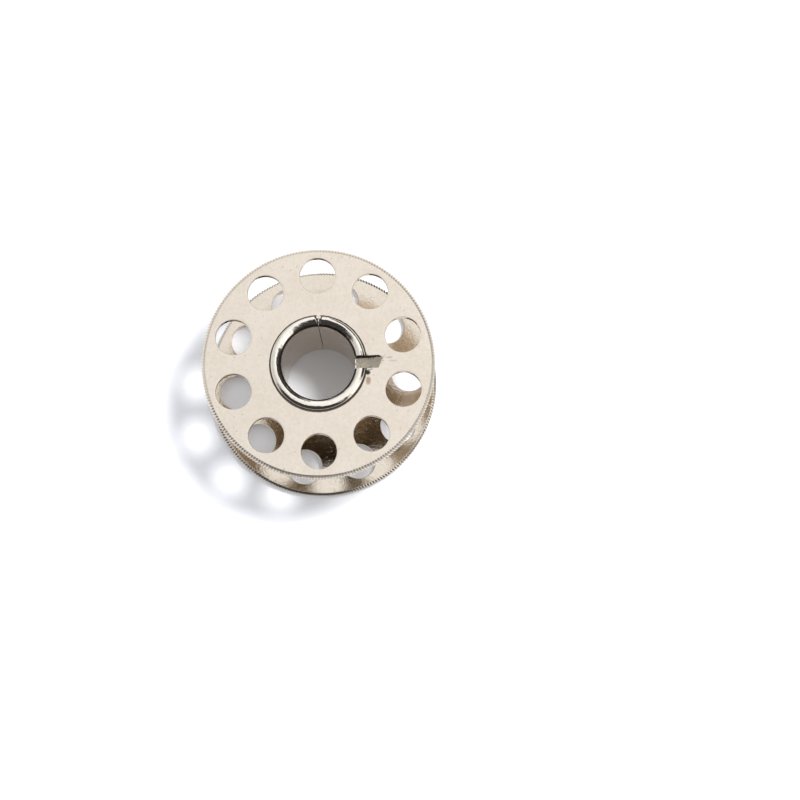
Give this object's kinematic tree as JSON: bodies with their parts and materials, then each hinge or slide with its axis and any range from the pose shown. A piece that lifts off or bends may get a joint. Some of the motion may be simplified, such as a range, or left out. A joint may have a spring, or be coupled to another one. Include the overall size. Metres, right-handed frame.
{
  "type": "sewing machine bobbin",
  "caption": "Bare nickel-plated steel bobbin for a sewing machine, with knurled flanges, ten thread holes in each and a rolled core tube.",
  "frame": {"origin": "on the bobbin's axis, at the flat crown of the lower lip, on which it stands", "axes": "+Z along the bobbin's axis, from the lower flange to the upper one; one hole of the upper flange lies at +Y"},
  "size_m": [0.0204, 0.0204, 0.011],
  "materials": {
    "nickel_plate": "satin nickel plate"
  },
  "bodies": {
    "root": {"core_tube": "nickel_plate", "upper_flange": "nickel_plate", "lower_flange": "nickel_plate"}
  },
  "joints": []
}
